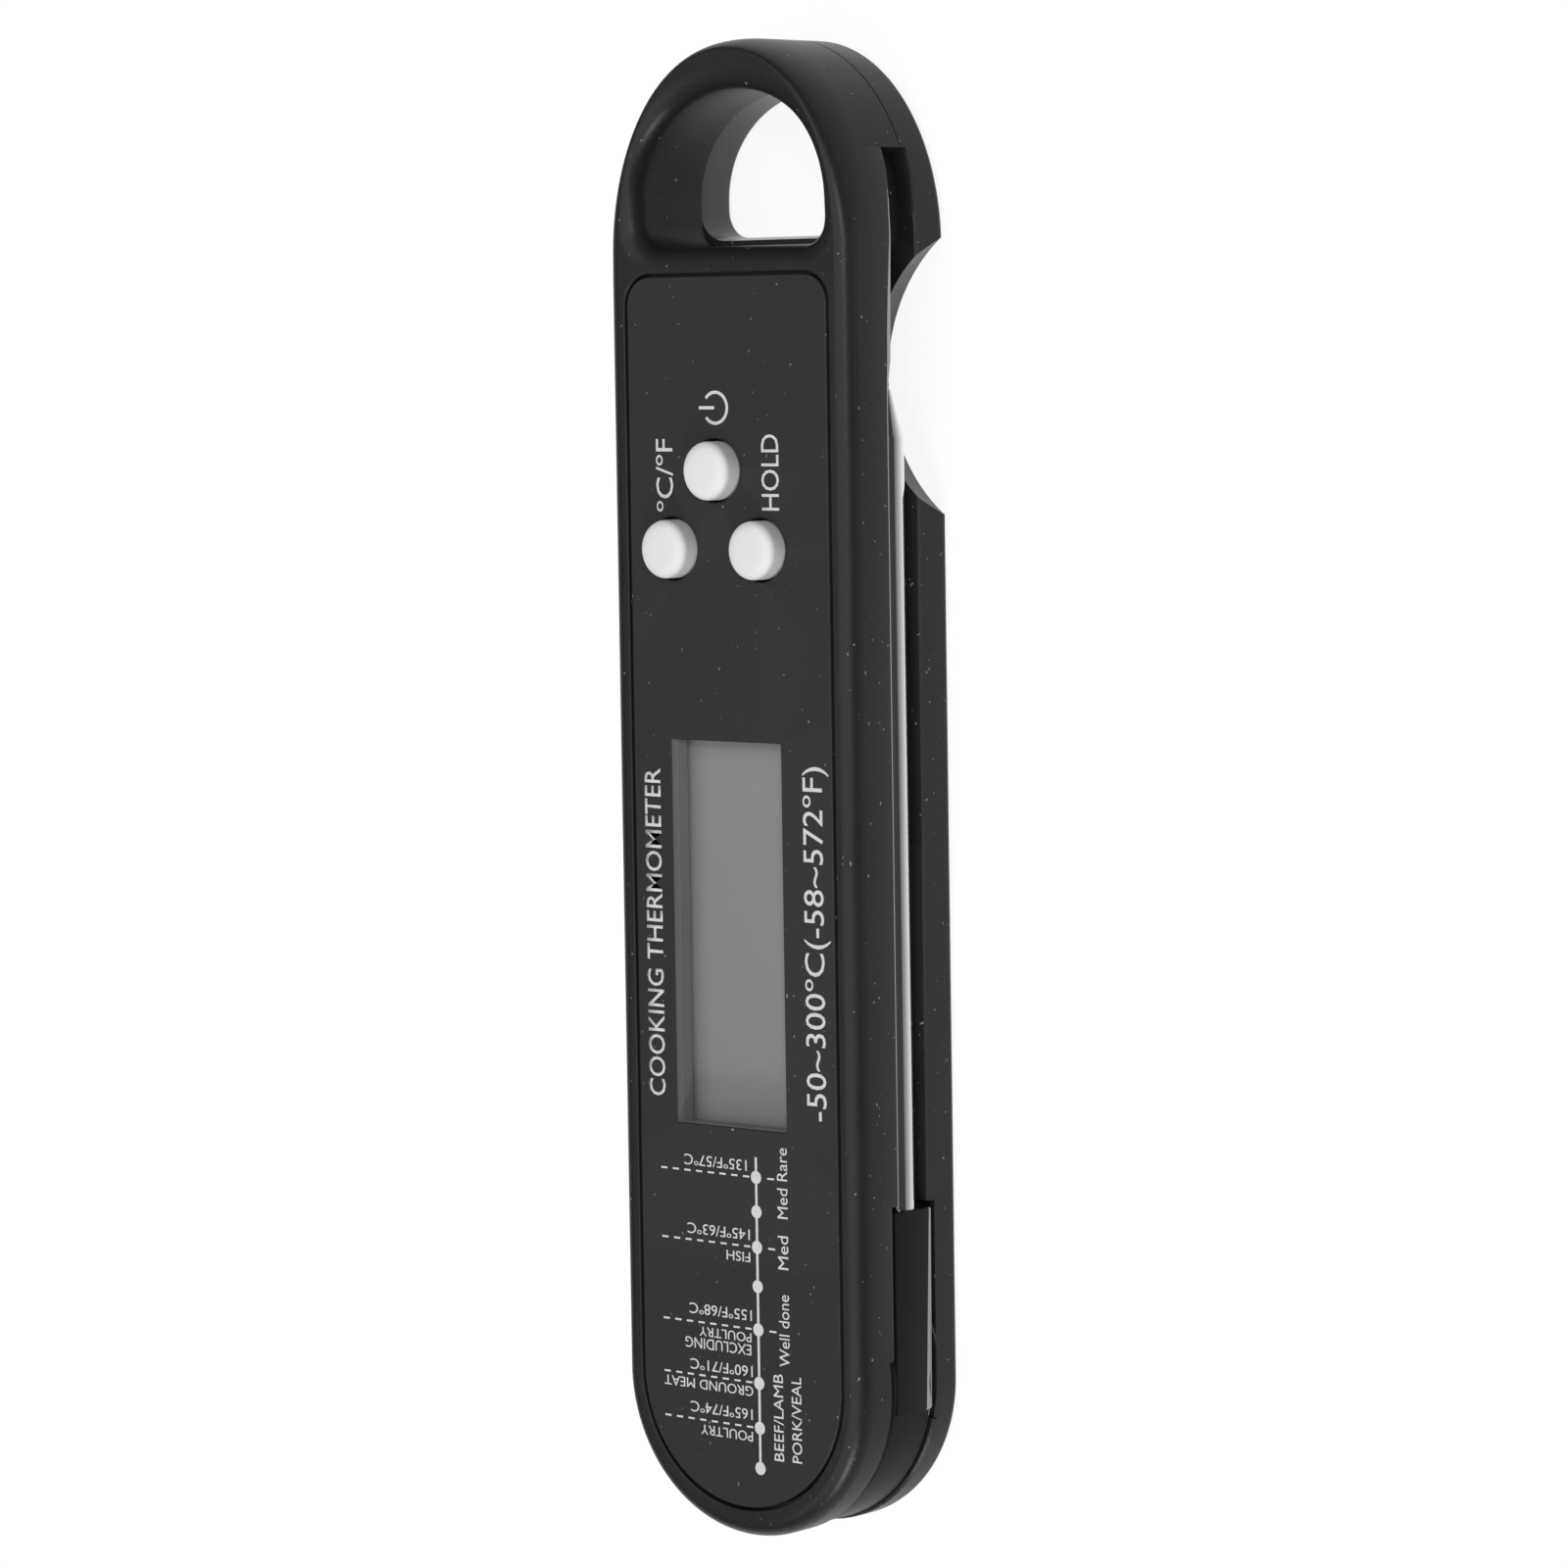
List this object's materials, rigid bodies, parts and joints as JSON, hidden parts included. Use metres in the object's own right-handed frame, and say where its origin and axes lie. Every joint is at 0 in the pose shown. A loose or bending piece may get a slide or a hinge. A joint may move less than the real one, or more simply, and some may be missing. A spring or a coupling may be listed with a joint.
{
  "type": "folding probe meat thermometer",
  "caption": "Slim digital meat thermometer with a steel probe that folds into a side slot, a display window, round push buttons and a hanging loop.",
  "frame": {"origin": "on the surface it lies on, under the middle of the casing", "axes": "+X along the casing towards the hanging loop, +Z out of the face with the display, -Y the side that stows the probe"},
  "size_m": [0.158, 0.0334, 0.0183],
  "materials": {
    "casing_plastic": "satin black moulded ABS with a fine spark texture",
    "plate_print": "satin charcoal face plate with pale printed legends",
    "button_white": "semi-gloss white",
    "window_clear": "clear acrylic",
    "lcd": "grey reflective liquid crystal display, switched off",
    "bezel_plastic": "dark grey moulded plastic",
    "rubber_black": "soft matt rubber",
    "board_green": "green solder mask on glass fibre board",
    "resin_black": "glossy poured resin",
    "steel_probe": "polished stainless steel tube with fine turning marks",
    "steel_zinc": "zinc plated steel",
    "spring_brass": "plated spring brass",
    "wire_red": "silicone insulated wire"
  },
  "bodies": {
    "casing": {"front_shell": "casing_plastic", "back_shell": "casing_plastic", "face_plate": "plate_print", "window_lens": "window_clear", "lcd_module": "lcd", "lcd_frame": "bezel_plastic", "zebra_strip_left": "rubber_black", "zebra_strip_right": "rubber_black", "circuit_board": "board_green", "chip_cover": "resin_black", "switch_power": "resin_black", "switch_unit": "resin_black", "switch_hold": "resin_black", "battery": "steel_zinc", "battery_contact_plus": "spring_brass", "battery_contact_minus": "spring_brass", "battery_cover_seal": "rubber_black", "case_screw_1": "steel_zinc", "case_screw_2": "steel_zinc", "case_screw_3": "steel_zinc", "case_screw_4": "steel_zinc", "pivot_screw": "steel_zinc", "hub_spring_washer": "spring_brass", "hub_leads": "wire_red"},
    "probe": {"probe_hub": "casing_plastic", "probe_stem": "steel_probe", "sensor_bead": "resin_black", "sensor_leads": "wire_red"},
    "power_button": {"button_power": "button_white"},
    "unit_button": {"button_unit": "button_white"},
    "hold_button": {"button_hold": "button_white"},
    "battery_door": {"battery_cover": "casing_plastic"}
  },
  "joints": [
    {"name": "probe_fold", "type": "hinge", "parent": "casing", "child": "probe", "pos_m": [-0.0623, 0, 0.00755], "axis": [0, 0, -1], "range_deg": [0, 180]},
    {"name": "power_press", "type": "slide", "parent": "casing", "child": "power_button", "axis": [0, 0, -1], "range_m": [0, 0.0006], "stiffness_N_per_m": 2000},
    {"name": "unit_press", "type": "slide", "parent": "casing", "child": "unit_button", "axis": [0, 0, -1], "range_m": [0, 0.0006], "stiffness_N_per_m": 2000},
    {"name": "hold_press", "type": "slide", "parent": "casing", "child": "hold_button", "axis": [0, 0, -1], "range_m": [0, 0.0006], "stiffness_N_per_m": 2000},
    {"name": "battery_cover_turn", "type": "hinge", "parent": "casing", "child": "battery_door", "pos_m": [0.024, 0.0023, 0.001], "axis": [0, 0, -1], "range_deg": [0, 50]}
  ]
}
